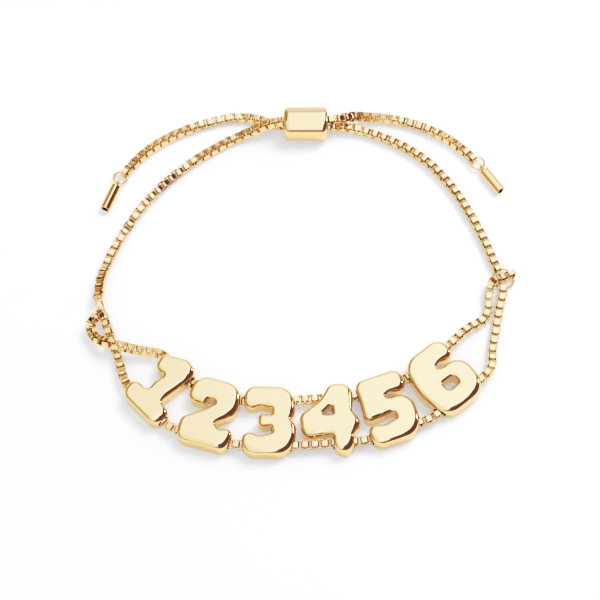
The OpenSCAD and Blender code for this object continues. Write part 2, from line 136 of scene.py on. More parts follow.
# Lengths that follow
BORE_Y, BORE_Z = BORE_PITCH / 2, CHARM_T / 2
LINK_PITCH = LINK_L - 2 * STRIP_T - LINK_PLAY
HOOK_ROOM = LINK_L / 2 - STRIP_T - RING_WIRE / 2 - WIRE_ROOM
SIDE_RING_R = (SIDE_RING_D - RING_WIRE) / 2
END_RING_R = (END_RING_D - RING_WIRE) / 2
EYE_R = (EYE_D + RING_WIRE) / 2
LANE_GAP = CHAIN_W + LANE_ROOM
SLIDER_MID_Z = SLIDER_H / 2


# Small geometry
def cos(a): return math.cos(math.radians(a))
def sin(a): return math.sin(math.radians(a))
def vec(*values): return np.array(values, float)
def unit(v): return v / np.linalg.norm(v)
def heading(a): return vec(cos(a), sin(a))
def spin(p, a): return vec(p[0] * cos(a) - p[1] * sin(a), p[0] * sin(a) + p[1] * cos(a))
def nearest(x): return math.floor(x + 0.5)
def direction(azimuth, elevation): return vec(*heading(azimuth) * cos(elevation), sin(elevation))


def rotation(x, y, z):
    """The matrix of a turn about X, then Y, then Z, in degrees."""
    about_x = np.array([[1, 0, 0], [0, cos(x), -sin(x)], [0, sin(x), cos(x)]])
    about_y = np.array([[cos(y), 0, sin(y)], [0, 1, 0], [-sin(y), 0, cos(y)]])
    about_z = np.array([[cos(z), -sin(z), 0], [sin(z), cos(z), 0], [0, 0, 1]])
    return about_z @ about_y @ about_x


def placed(points):
    return [np.array(p, float) - PLAN_MID for p in points]


# Meshes
SMOOTH_UNDER = math.radians(36)


def make_piece(name, points, faces, node, material):
    """A piece of the object, from points in millimetres, that stands for a CAD node."""
    mesh = bpy.data.meshes.new(name)
    mesh.from_pydata((np.asarray(points, float) * MM).tolist(), [], [list(map(int, f)) for f in faces])
    piece = bpy.data.objects.new(name, mesh)
    bpy.context.scene.collection.objects.link(piece)
    finish_mesh(piece)
    mesh.materials.append(material)
    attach(piece, BODY)
    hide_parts(node)


def finish_mesh(piece):
    """Smooth shading with sharp edges where faces meet steeply."""
    mesh = piece.data
    mesh.validate()
    mesh.polygons.foreach_set("use_smooth", [True] * len(mesh.polygons))
    mesh.set_sharp_from_angle(angle=SMOOTH_UNDER)
    mesh.update()


def strip_faces(rings, count, start=0):
    """Quads between neighbouring closed rings of count points."""
    return [(start + k * count + i, start + (k + 1) * count + i,
             start + (k + 1) * count + (i + 1) % count, start + k * count + (i + 1) % count)
            for k in range(rings - 1) for i in range(count)]


def closed_faces(rings, count):
    """Quads between rings of count points, with the last ring joined to the first."""
    return [(k * count + i, k * count + (i + 1) % count,
             (k + 1) % rings * count + (i + 1) % count, (k + 1) % rings * count + i)
            for k in range(rings) for i in range(count)]


def fill_faces(rings_of_ids, points):
    """Triangles that fill a flat outline with holes, given as lists of point numbers."""
    ids = [i for ring in rings_of_ids for i in ring]
    triangles = tessellate_polygon([[points[i] for i in ring] for ring in rings_of_ids])
    return [tuple(ids[i] for i in t) for t in triangles]


# Numerals. A shoulder is the rounded edge between wall and face: thin on the upper left,
# full on the side that looks towards FULL_SIDE, and more so at outer corners there
ARC_STEP, RIM_STEP, BORE_SIDES = 5, 0.3, 64
SHOULDER_LEAST, SHOULDER_MOST, SHOULDER_SHARE, SHOULDER_SPREAD = 0.42, 1.5, 0.85, 0.7
SHOULDER_THIN, SHOULDER_FULL, SHOULDER_GAIN, FULL_SIDE = 0.52, 0.85, 1.1, -50
BACK_EDGE, SHOULDER_STEPS, BACK_STEPS, FLAT_EDGE = 0.2, 12, 4, 0.03
TINY = 1e-9


def corner_arc(before, tip, after, radius):
    """Points, outward normals and bend (1 / radius, under 0 for a hollow) of a rounded corner."""
    d, e = unit(tip - before), unit(after - tip)
    bend = math.degrees(math.atan2(d[0] * e[1] - d[1] * e[0], d @ e))
    way, side = math.copysign(1, bend), vec(-d[1], d[0])
    middle = tip - d * radius * math.tan(math.radians(abs(bend) / 2)) + way * radius * side
    steps = max(1, math.ceil(abs(bend) / ARC_STEP))
    arms = [spin(-way * side, bend * k / steps) for k in range(steps + 1)]
    return [(middle + radius * arm, way * arm, way / radius) for arm in arms]


def outline(rim, size):
    """A rounded polygon as three arrays: points, outward normals and bends."""
    tips = [vec(x, y) * size for x, y, _ in rim]
    arcs = [corner_arc(tips[i - 1], tips[i], tips[(i + 1) % len(tips)], rim[i][2] * size)
            for i in range(len(tips))]
    rows = []
    for arc, after in zip(arcs, arcs[1:] + arcs[:1]):
        rows += arc
        (start, normal, _), end = arc[-1], after[0][0]
        steps = int(np.linalg.norm(end - start) / RIM_STEP)
        rows += [(start + (end - start) * k / steps, normal, 0) for k in range(1, steps)]
    return [np.array([row[column] for row in rows]) for column in range(3)]


def shoulder_radii(rim, turn):
    """The shoulder's radius round the outline: fullest at outer corners of the lower right side."""
    points, normals, bends = rim
    full = (1 + normals @ heading(FULL_SIDE - turn)) / 2
    limit = np.where(bends > 0, SHOULDER_SHARE / np.maximum(bends, TINY), SHOULDER_MOST)
    wish = SHOULDER_THIN + full * (SHOULDER_FULL - SHOULDER_THIN) + full ** 2 * SHOULDER_GAIN * bends
    wish = np.clip(wish, SHOULDER_LEAST, SHOULDER_MOST)
    steps = np.linalg.norm(np.roll(points, -1, axis=0) - points, axis=1)
    place = np.concatenate([[0], np.cumsum(steps)[:-1]])
    apart = np.abs(place[:, None] - place[None, :])
    apart = np.minimum(apart, steps.sum() - apart)
    weight = np.exp(-(apart / SHOULDER_SPREAD) ** 2) * (steps + np.roll(steps, 1))[None, :]
    smooth = (weight @ np.minimum(wish, limit)) / weight.sum(axis=1)
    return np.minimum(smooth, limit)


def wall_rings(rim, radii, way=1):
    """The rings of points up an outline's wall, from inside the back to inside the face."""
    points, normals, _ = rim
    flat_back = [(0, BACK_EDGE + FLAT_EDGE)]
    back = [(BACK_EDGE * (1 - sin(90 * k / BACK_STEPS)), BACK_EDGE * (1 - cos(90 * k / BACK_STEPS)))
            for k in range(BACK_STEPS, -1, -1)]
    rings = [(np.full(len(points), z), np.full(len(points), inset)) for z, inset in flat_back + back]
    for k in range(SHOULDER_STEPS + 1):
        a = 90 * k / SHOULDER_STEPS
        rings.append((CHARM_T - radii * (1 - sin(a)), radii * (1 - cos(a))))
    rings.append((np.full(len(points), CHARM_T), radii + FLAT_EDGE))
    return [np.column_stack([points - way * normals * inset[:, None], z]) for z, inset in rings]


def numeral_mesh(name, turn):
    rim = outline(RIMS[name], CHARM_H)
    lofts = [wall_rings(rim, shoulder_radii(rim, turn))]
    if name in COUNTERS:
        hole = outline(COUNTERS[name], CHARM_H)
        lofts.append(wall_rings(hole, np.full(len(hole[0]), SHOULDER_LEAST), -1))
    points, faces, backs, fronts = [], [], [], []
    for rings in lofts:
        start, count = len(points), len(rings[0])
        faces += strip_faces(len(rings), count, start)
        points += [p for ring in rings for p in ring]
        backs.append(list(range(start, start + count)))
        fronts.append(list(range(len(points) - count, len(points))))
    return points, faces + fill_faces(backs, points) + fill_faces(fronts, points)


def tube_mesh(reach, y, z, radius, sides):
    """A closed cylinder along X, from -reach to reach."""
    points = [vec(x, y + radius * cos(360 * i / sides), z + radius * sin(360 * i / sides))
              for x in (-reach, reach) for i in range(sides)]
    faces = strip_faces(2, sides) + [tuple(range(sides)), tuple(range(2 * sides - 1, sides - 1, -1))]
    return points, faces


def scratch_object(points, faces):
    """A loose closed mesh for a Boolean, in millimetres, with its faces turned outwards."""
    mesh = bpy.data.meshes.new("scratch")
    mesh.from_pydata(np.asarray(points, float).tolist(), [], [list(map(int, f)) for f in faces])
    work = bmesh.new()
    work.from_mesh(mesh)
    bmesh.ops.recalc_face_normals(work, faces=work.faces)
    work.to_mesh(mesh)
    work.free()
    piece = bpy.data.objects.new("scratch", mesh)
    bpy.context.scene.collection.objects.link(piece)
    return piece


def combined(operation, first, others):
    """Points and faces of a closed mesh after exact Booleans with others."""
    target = scratch_object(*first)
    tools = [scratch_object(*other) for other in others]
    for tool in tools:
        step = target.modifiers.new("step", "BOOLEAN")
        step.operation, step.solver, step.object = operation, "EXACT", tool
    bpy.context.view_layer.update()
    mesh = bpy.data.meshes.new_from_object(target.evaluated_get(bpy.context.evaluated_depsgraph_get()))
    points = np.array([v.co for v in mesh.vertices])
    faces = [tuple(p.vertices) for p in mesh.polygons]
    bpy.data.meshes.remove(mesh)
    for piece in [target] + tools:
        mesh = piece.data
        bpy.data.objects.remove(piece)
        bpy.data.meshes.remove(mesh)
    return points, faces


def charm_at(i):
    if i == 0:
        return FIRST_CHARM - PLAN_MID[:2]
    (turn, step), (next_turn, _) = CHARMS[i - 1], CHARMS[i]
    return charm_at(i - 1) + step * CHARM_H * heading((turn + next_turn) / 2)


def make_numeral(i, name, material):
    bores = [tube_mesh(CHARM_H, side * BORE_Y, BORE_Z, BORE_D / 2, BORE_SIDES) for side in (-1, 1)]
    points, faces = combined("DIFFERENCE", numeral_mesh(name, CHARMS[i][0]), bores)
    turned = points @ rotation(0, 0, CHARMS[i][0]).T + np.append(charm_at(i), 0)
    make_piece(name + "_piece", turned, faces, name, material)


# Routes
def in_charm(i, x, side):
    return np.append(charm_at(i) + spin((x, side * BORE_Y), CHARMS[i][0]), BORE_Z)


def meeting(i, side):
    """Where the axes of two neighbours' bores meet."""
    half, reach = (CHARMS[i + 1][0] - CHARMS[i][0]) / 2, CHARMS[i][1] * CHARM_H / 2
    return in_charm(i, (reach - side * BORE_Y * sin(half)) / cos(half), side)


def rim_reach(name, way):
    return max(way * x for x, _, _ in RIMS[name]) * CHARM_H + MOUTH_ROOM


def bore_line(side):
    last = len(CHARMS) - 1
    return ([in_charm(0, -rim_reach("charm_one", -1), side)] + [meeting(i, side) for i in range(last)]
            + [in_charm(last, rim_reach("charm_six", 1), side)])


# A ring: its middle, two directions in its plane and the direction of its axis
LEFT_RING_SIDE = heading(LEFT_RING_TURN + 90)
LEFT_RING = (
    placed([LEFT_RING_AT])[0],
    np.append(heading(LEFT_RING_TURN), 0),
    np.append(LEFT_RING_SIDE * sin(LEFT_RING_LEAN), cos(LEFT_RING_LEAN)),
    np.append(LEFT_RING_SIDE * cos(LEFT_RING_LEAN), -sin(LEFT_RING_LEAN)))
FLAT = (vec(1, 0, 0), vec(0, 1, 0), vec(0, 0, 1))
RIGHT_RING = (placed([RIGHT_RING_AT])[0], *FLAT)


def sag(r):
    """What a flat strip leaves of its room to a ring's curved wire."""
    face = r - RING_WIRE / 2
    return face - math.sqrt(face * face - STRIP_W * STRIP_W / 4)


def spoke(ring, hook): return ring[1] * cos(hook[0]) + ring[2] * sin(hook[0])
def hook_way(ring, hook): return spoke(ring, hook) * cos(hook[1]) + ring[3] * sin(hook[1])


def hooked(ring, hook, lift=0.0):
    rest = HOOK_ROOM - max(0, cos(hook[1])) * sag(SIDE_RING_R)
    return [ring[0] + SIDE_RING_R * spoke(ring, hook) + (rest + out) * hook_way(ring, hook) + vec(0, 0, lift)
            for out in (0, STRAIGHT_RUN)]


def hook_roll(ring, hook):
    """The roll of a link whose opening is on a ring's wire."""
    way, axis = hook_way(ring, hook), ring[2] * cos(hook[0]) - ring[1] * sin(hook[0])
    side = unit(vec(-way[1], way[0], 0))
    return math.degrees(math.atan2(-axis @ side, axis @ np.cross(way, side)))


def lane(side, level):
    x, y = SLIDER_AT
    return placed([(x + side * SLIDER_L / 2, y, SLIDER_MID_Z + level * LANE_GAP / 2)])[0]


LEFT_ROUTE = (hooked(LEFT_RING, LEFT_HOOK) + placed(LEFT_POINTS) + [lane(-1, 1), lane(1, 1)]
              + placed(LEFT_TAIL_POINTS))
RIGHT_ROUTE = (hooked(RIGHT_RING, RIGHT_HOOK, RIGHT_LIFT) + placed(RIGHT_POINTS)
               + [lane(1, -1), lane(-1, -1)] + placed(RIGHT_TAIL_POINTS))
UPPER_ROUTE = (hooked(LEFT_RING, UPPER_HOOK) + placed(UPPER_LEFT_POINTS) + bore_line(1)
               + placed(UPPER_RIGHT_POINTS) + hooked(RIGHT_RING, UPPER_END_HOOK, RIGHT_LIFT)[::-1])
LOWER_ROUTE = (hooked(LEFT_RING, LOWER_HOOK) + placed(LOWER_LEFT_POINTS) + bore_line(-1)
               + placed(LOWER_RIGHT_POINTS) + hooked(RIGHT_RING, LOWER_END_HOOK, RIGHT_LIFT)[::-1])


def rounded_route(points, reach):
    rows = [points[0]]
    for a, b, c in zip(points, points[1:], points[2:]):
        back, on = a - b, c - b
        cut = min(reach, np.linalg.norm(back) / 2, np.linalg.norm(on) / 2)
        start, end = b + unit(back) * cut, b + unit(on) * cut
        for k in range(BEND_STEPS + 1):
            t = k / BEND_STEPS
            rows.append((1 - t) ** 2 * start + 2 * t * (1 - t) * b + t * t * end)
    return np.array(rows + [points[-1]])


# Box chain. The STILL_LINKS links at each end have no play, because the last one is hooked on a ring
LINK_CORNER, CORNER_POINTS, STRIP_EDGE = 0.2, 5, 0.035
ROLL_PLAY, YAW_PLAY, STILL_LINKS = 3.0, 1.5, 3


def link_mesh():
    """A link bent from strip, lengthwise along X, with its opening along Z."""
    half_l = (LINK_L - STRIP_T) / 2 - LINK_CORNER
    half_w = (CHAIN_W - STRIP_T) / 2 - LINK_CORNER
    t, w, e = STRIP_T / 2, STRIP_W / 2, STRIP_EDGE
    section = [(t, w - e), (t - e, w), (e - t, w), (-t, w - e),
               (-t, e - w), (e - t, -w), (t - e, -w), (t, e - w)]
    points = []
    for quarter, (x, y) in enumerate([(1, 1), (-1, 1), (-1, -1), (1, -1)]):
        for k in range(CORNER_POINTS):
            arm = heading(90 * (quarter + k / (CORNER_POINTS - 1)))
            middle = vec(x * half_l, y * half_w)
            points += [np.append(middle + (LINK_CORNER + out) * arm, up) for out, up in section]
    return np.array(points), closed_faces(4 * CORNER_POINTS, len(section))


def chain_mesh(points, reach, rolls, turns, seed):
    """All links of a chain along its route, at the CAD model's pitch, with a little play in each.

    Turns are rows of a link's number and how far it is rolled on from the CAD model's even twist.
    """
    line = rounded_route(points, reach)
    place = np.concatenate([[0], np.cumsum(np.linalg.norm(np.diff(line, axis=0), axis=1))])
    length = place[-1]
    odd = abs(nearest((rolls[1] - rolls[0]) / 90)) % 2
    count = 2 * nearest((length / LINK_PITCH - odd) / 2) + odd + 1
    twist = rolls[1] - rolls[0] - 90 * (count - 1)
    even = twist - 180 * nearest(twist / 180)
    chance = random.Random(seed)

    def along(s):
        return vec(*[np.interp(s, place, line[:, axis]) for axis in range(3)])

    link_points, link_faces = link_mesh()
    all_points, all_faces = [], []
    for i in range(count):
        s = i * length / (count - 1)
        ahead = unit(along(s + LINK_PITCH / 2) - along(s - LINK_PITCH / 2))
        play = 0 if i < STILL_LINKS or i >= count - STILL_LINKS else 1
        roll = rolls[0] + 90 * i + even * i / (count - 1) + np.interp(i, *zip(*turns))
        roll += play * chance.uniform(-ROLL_PLAY, ROLL_PLAY)
        yaw = math.degrees(math.atan2(ahead[1], ahead[0])) + play * chance.uniform(-YAW_PLAY, YAW_PLAY)
        frame_of_link = rotation(0, -math.degrees(math.asin(ahead[2])), yaw) @ rotation(roll, 0, 0)
        all_faces += [tuple(i * len(link_points) + p for p in face) for face in link_faces]
        all_points.append(link_points @ frame_of_link.T + along(s))
    return np.concatenate(all_points), all_faces


# Rings, end caps and slider bead
WIRE_SIDES, RING_STEPS, RING_GAP, LATHE_SIDES = 14, 72, 2.5, 56
# The bead's domed ends: their length, how far they draw in across and up, and their steps
END_REACH, END_ACROSS, END_UP, END_STEPS = 0.9, 0.75, 0.38, 9
# A domed end's edge radius shrinks by this share of what is drawn in, and its flat is this much smaller
EDGE_SHRINK, END_FLAT = 0.6, 1.02
# Steps round a quarter of the bead's outline, and how far behind a domed end its straight body starts
QUARTER_STEPS, BODY_START = 16, 0.05
# The rounded mouth of its hole, and how far in the hole's straight wall is met
MOUTH, MOUTH_SPREAD, MOUTH_ANGLES, HOLE_DEPTH = 0.06, 0.8, (30, 60, 90), 0.25
# A cap's rounded edges at the eye and at the bore, the ends of the flats beside them, and the bore's lip
EYE_EDGE, EYE_FLAT, EYE_WALL = 0.2, 0.22, 0.24
LIP_EDGE, LIP_WALL, LIP, LIP_DEPTH, ROUND_STEPS = 0.09, 0.14, 0.06, 0.2, 6
# How far each ring is turned round its own axis, to where its wire's ends meet
LEFT_SIDE_JOINT, RIGHT_SIDE_JOINT, LEFT_END_JOINT, RIGHT_END_JOINT = 60, 320, 160, 20


def ring_mesh(radius, wire, gap=0.0):
    """A ring of round wire in the plane z = 0, with a joint where its two ends meet."""
    steps = RING_STEPS if gap else RING_STEPS - 1
    points = []
    for k in range(steps + 1):
        a = gap / 2 + (360 - gap) * k / RING_STEPS
        for i in range(WIRE_SIDES):
            b = 360 * i / WIRE_SIDES
            r = radius + wire / 2 * cos(b)
            points.append(vec(r * cos(a), r * sin(a), wire / 2 * sin(b)))
    faces = strip_faces(steps + 1, WIRE_SIDES)
    if gap:
        top = steps * WIRE_SIDES
        faces += [tuple(range(WIRE_SIDES)), tuple(range(top + WIRE_SIDES - 1, top - 1, -1))]
    else:
        last = steps * WIRE_SIDES
        faces += [(last + i, i, (i + 1) % WIRE_SIDES, last + (i + 1) % WIRE_SIDES) for i in range(WIRE_SIDES)]
    return np.array(points), faces


def make_ring(node, radius, axes, joint_turn, material):
    points, faces = ring_mesh(radius, WIRE, RING_GAP)
    across = np.column_stack(axes[1:4]) @ rotation(0, 0, joint_turn)
    make_piece(node + "_wire", points @ across.T + axes[0], faces, node, material)


def end_ring_at(route):
    way = unit(route[-1] - route[-2])
    return route[-1] + (HOOK_ROOM - sag(END_RING_R) + END_RING_R) * vec(way[0], way[1], 0)


def eye_at(route, turn):
    reach = END_RING_R + EYE_D / 2 - RING_WIRE / 2 - CLEAR
    return end_ring_at(route) + reach * np.append(heading(turn), 0)


def lathe_mesh(profile):
    """A closed solid turned about X from [x, radius] rows, both ends on the axis."""
    points = [vec(profile[0][0], 0, 0)]
    for x, r in profile[1:-1]:
        points += [vec(x, r * cos(360 * i / LATHE_SIDES), r * sin(360 * i / LATHE_SIDES))
                   for i in range(LATHE_SIDES)]
    points.append(vec(profile[-1][0], 0, 0))
    n, last = LATHE_SIDES, len(points) - 1
    faces = strip_faces(len(profile) - 2, n, 1)
    faces += [(0, 1 + i, 1 + (i + 1) % n) for i in range(n)]
    faces += [(last, last - n + (i + 1) % n, last - n + i) for i in range(n)]
    return points, faces


def round_rows(x, r, radius, way):
    """Rows of a rounded edge from a flat end at x out to the side at radius r."""
    angles = [90 * k / ROUND_STEPS for k in range(ROUND_STEPS + 1)]
    rows = [(x + way * radius * (1 - cos(a)), r - radius * (1 - sin(a))) for a in angles]
    return rows if way > 0 else rows[::-1]


def make_cap(node, route, turn, material):
    """A cap as a solid turned about X, with its eye at the origin, put on the end ring of a route."""
    r, bore = CAP_D / 2, CAP_BORE_D / 2
    profile = [(0, 0), (0, r - EYE_FLAT)] + round_rows(0, r, EYE_EDGE, 1)
    profile += [(EYE_WALL, r), (CAP_L - LIP_WALL, r)] + round_rows(CAP_L, r, LIP_EDGE, -1)
    profile += [(CAP_L, bore + LIP), (CAP_L - LIP, bore), (CAP_L - LIP_DEPTH, bore)]
    profile += [(CAP_L - CAP_BORE_L, bore), (CAP_L - CAP_BORE_L, 0)]
    body, faces = lathe_mesh(profile)
    body = [p + vec(EYE_R - RING_WIRE / 2, 0, 0) for p in body]
    eye, eye_faces = ring_mesh(EYE_R, EYE_WIRE)
    points, faces = combined("UNION", (body, faces), [(eye @ rotation(90, 0, 0).T, eye_faces)])
    turned = points @ rotation(0, 0, turn).T + eye_at(route, turn)
    make_piece(node + "_piece", turned, faces, node, material)


def slider_mesh():
    """The bead: a rounded box with a tall hole through it for two chains, one above the other."""
    hole_r = (CHAIN_W + 2 * SLIDER_PLAY) / 2
    hole_up = LANE_GAP / 2
    half_l, half_w, half_h = SLIDER_L / 2, BEAD_W / 2, SLIDER_H / 2

    def box_ring(x, across, up):
        r_y, r_z = BEAD_EDGE - across * EDGE_SHRINK, BEAD_EDGE - up * EDGE_SHRINK
        points = []
        for quarter, (y, z) in enumerate([(1, 1), (-1, 1), (-1, -1), (1, -1)]):
            for k in range(QUARTER_STEPS + 1):
                a = 90 * (quarter + k / QUARTER_STEPS)
                points.append(vec(x, y * (half_w - across - r_y) + r_y * cos(a),
                                  z * (half_h - up - r_z) + r_z * sin(a)))
        return points

    def hole_ring(x, wider):
        n, r = 4 * (QUARTER_STEPS + 1), hole_r + wider
        angles = [360 * (k + 0.5) / n for k in range(n)]
        return [vec(x, r * cos(a), r * sin(a) + math.copysign(hole_up, sin(a))) for a in angles]

    half = [hole_ring(half_l - HOLE_DEPTH, 0), hole_ring(half_l - MOUTH, 0)]
    half += [hole_ring(half_l - MOUTH * (1 - sin(a)), MOUTH * (1 - cos(a)) * MOUTH_SPREAD)
             for a in MOUTH_ANGLES]
    rows = [(half_l - END_REACH * (1 - sin(a)), END_ACROSS * (1 - cos(a)), END_UP * (1 - cos(a)))
            for a in [90 - 90 * k / END_STEPS for k in range(END_STEPS + 1)]]
    half += [box_ring(half_l, END_ACROSS * END_FLAT, END_UP * END_FLAT)] + [box_ring(*row) for row in rows]
    half += [box_ring(half_l - END_REACH - BODY_START, 0, 0)]
    other = [[vec(-p[0], p[1], p[2]) for p in ring] for ring in half[::-1]]
    rings = half + other
    return np.array([p for ring in rings for p in ring]), closed_faces(len(rings), len(rings[0]))


# Materials. Noise scales are in features a metre, and depths of bumps in metres
GRAIN_DEPTH, WAVE_DEPTH = 0.00001, 0.00002
FLOOR_LOW, FLOOR_HIGH, FLOOR_GLOW = (.71, .705, .695), (.73, .725, .715), 0.26


def node(tree, kind, **values):
    """A shader node, with its inputs set by name."""
    made = tree.nodes.new(kind)
    for key, value in values.items():
        made.inputs[key.replace("_", " ")].default_value = value
    return made


def gold_material(name, low, high, rough, waves=0.0, grain=0.02):
    """Polished gold plate whose colour, gloss and surface vary a little from place to place."""
    material = bpy.data.materials.new(name)
    material.use_nodes = True
    tree = material.node_tree
    shader = tree.nodes["Principled BSDF"]
    shader.inputs["Metallic"].default_value = 1.0
    place = tree.nodes.new("ShaderNodeTexCoord").outputs["Object"]

    clouds = node(tree, "ShaderNodeTexNoise", Scale=260.0, Detail=3.0, Roughness=0.55)
    tree.links.new(place, clouds.inputs["Vector"])
    tint = tree.nodes.new("ShaderNodeMix")
    tint.data_type = "RGBA"
    tint.inputs["A"].default_value, tint.inputs["B"].default_value = (*low, 1), (*high, 1)
    tree.links.new(clouds.outputs["Fac"], tint.inputs["Factor"])
    tree.links.new(tint.outputs["Result"], shader.inputs["Base Color"])

    smears = node(tree, "ShaderNodeTexNoise", Scale=700.0, Detail=4.0, Roughness=0.6)
    tree.links.new(place, smears.inputs["Vector"])
    gloss = node(tree, "ShaderNodeMapRange", To_Min=rough[0], To_Max=rough[1])
    tree.links.new(smears.outputs["Fac"], gloss.inputs["Value"])
    tree.links.new(gloss.outputs["Result"], shader.inputs["Roughness"])

    fine = node(tree, "ShaderNodeTexNoise", Scale=5200.0, Detail=2.0, Roughness=0.5)
    tree.links.new(place, fine.inputs["Vector"])
    fine_bump = node(tree, "ShaderNodeBump", Strength=grain, Distance=GRAIN_DEPTH)
    tree.links.new(fine.outputs["Fac"], fine_bump.inputs["Height"])
    wide = node(tree, "ShaderNodeTexNoise", Scale=420.0, Detail=1.0, Roughness=0.4)
    tree.links.new(place, wide.inputs["Vector"])
    wide_bump = node(tree, "ShaderNodeBump", Strength=waves, Distance=WAVE_DEPTH)
    tree.links.new(wide.outputs["Fac"], wide_bump.inputs["Height"])
    tree.links.new(fine_bump.outputs["Normal"], wide_bump.inputs["Normal"])
    tree.links.new(wide_bump.outputs["Normal"], shader.inputs["Normal"])
    return material


def floor_material():
    """White paper with the faintest grain. Its glow only makes the shadows on it as pale as the photo's."""
    material = bpy.data.materials.new("white_paper")
    material.use_nodes = True
    tree = material.node_tree
    shader = tree.nodes["Principled BSDF"]
    shader.inputs["Roughness"].default_value = 0.9
    shader.inputs["Specular IOR Level"].default_value = 0.1
    shader.inputs["Emission Color"].default_value = (1.0, 1.0, 1.0, 1.0)
    shader.inputs["Emission Strength"].default_value = FLOOR_GLOW
    place = tree.nodes.new("ShaderNodeTexCoord").outputs["Object"]
    grain = node(tree, "ShaderNodeTexNoise", Scale=900.0, Detail=3.0)
    tree.links.new(place, grain.inputs["Vector"])
    tint = tree.nodes.new("ShaderNodeMix")
    tint.data_type = "RGBA"
    tint.inputs["A"].default_value, tint.inputs["B"].default_value = (*FLOOR_LOW, 1), (*FLOOR_HIGH, 1)
    tree.links.new(grain.outputs["Fac"], tint.inputs["Factor"])
    tree.links.new(tint.outputs["Result"], shader.inputs["Base Color"])
    return material


GOLD_LOW, GOLD_HIGH = (.92, .66, .345), (.95, .71, .39)
CHAIN_LOW, CHAIN_HIGH = (.92, .665, .35), (.96, .72, .41)
WIRE_LOW, WIRE_HIGH = (.95, .69, .38), (.98, .74, .43)
numeral_gold = gold_material("polished_gold_numerals", GOLD_LOW, GOLD_HIGH, (.05, .11), waves=.12)
chain_gold = gold_material("gold_box_chain", CHAIN_LOW, CHAIN_HIGH, (.05, .10), grain=.04)
strand_gold = gold_material("gold_strand_chain", CHAIN_LOW, CHAIN_HIGH, (.05, .11), grain=.04)
bead_gold = gold_material("polished_gold_bead", GOLD_LOW, GOLD_HIGH, (.06, .12), waves=.2)
wire_gold = gold_material("gold_wire", WIRE_LOW, WIRE_HIGH, (.08, .15), grain=.04)
cap_gold = gold_material("polished_gold_caps", GOLD_LOW, GOLD_HIGH, (.06, .12), waves=.1)

# The object
for number, charm in enumerate(RIMS):
    make_numeral(number, charm, numeral_gold)

# Each chain's node, route, bends, first roll, material and turns. The turns were set one by one.
CHAINS = [
    ("left_chain", LEFT_ROUTE, CHAIN_BEND, hook_roll(LEFT_RING, LEFT_HOOK), chain_gold,
     [(0, 0), (5, 1), (8, 17), (13, 18), (15, 31), (18, 33), (21, 26), (23, 27), (26, 32), (31, 34),
      (33, 36), (35, 35), (37, 27), (43, -9), (46, -9), (49, 7), (53, 6), (56, -8), (59, -8), (63, 3),
      (68, 5), (72, 26), (74, 25), (77, 7), (80, -11), (84, -11), (86, 2), (89, 20), (92, 16), (95, -4),
      (97, -16), (100, -16), (103, 0)]),
    ("right_chain", RIGHT_ROUTE, CHAIN_BEND, UPRIGHT, chain_gold,
     [(0, 0), (62, 0), (66, 8), (70, 9), (73, -9), (75, -15), (79, -15), (83, 7), (86, 20), (95, 20),
      (99, 0)]),
    ("upper_strand", UPPER_ROUTE, STRAND_BEND, hook_roll(LEFT_RING, UPPER_HOOK), strand_gold,
     [(0, 0), (2, 0), (12, 38), (24, 42), (36, 46), (50, -19), (109, 0)]),
    ("lower_strand", LOWER_ROUTE, STRAND_BEND, hook_roll(LEFT_RING, LOWER_HOOK), strand_gold,
     [(0, 0), (3, 0), (9, -16), (22, -15), (32, 0), (119, 0)])]
for seed, (chain, route, reach, first_roll, gold, turns) in enumerate(CHAINS):
    make_piece(chain + "_links", *chain_mesh(route, reach, (first_roll, UPRIGHT), turns, seed), chain, gold)

make_ring("left_side_ring", SIDE_RING_R, LEFT_RING, LEFT_SIDE_JOINT, wire_gold)
make_ring("right_side_ring", SIDE_RING_R, RIGHT_RING, RIGHT_SIDE_JOINT, wire_gold)
make_ring("left_end_ring", END_RING_R, (end_ring_at(RIGHT_ROUTE), *FLAT), LEFT_END_JOINT, wire_gold)
make_ring("right_end_ring", END_RING_R, (end_ring_at(LEFT_ROUTE), *FLAT), RIGHT_END_JOINT, wire_gold)
make_cap("left_end_cap", RIGHT_ROUTE, LEFT_CAP_TURN, cap_gold)
make_cap("right_end_cap", LEFT_ROUTE, RIGHT_CAP_TURN, cap_gold)

bead_points, bead_faces = slider_mesh()
bead_at = placed([(*SLIDER_AT, SLIDER_MID_Z)])[0]
make_piece("slider_bead_piece", bead_points + bead_at, bead_faces, "slider_bead", bead_gold)

# Floor
FLOOR_HALF, FLOOR_DROP = 0.9, 0.00005
floor_mesh = bpy.data.meshes.new("paper_floor")
corners = [(x * FLOOR_HALF, y * FLOOR_HALF, -FLOOR_DROP) for x, y in ((-1, -1), (1, -1), (1, 1), (-1, 1))]
floor_mesh.from_pydata(corners, [], [(0, 1, 2, 3)])
floor_mesh.materials.append(floor_material())
floor = bpy.data.objects.new("paper_floor", floor_mesh)
bpy.context.scene.collection.objects.link(floor)

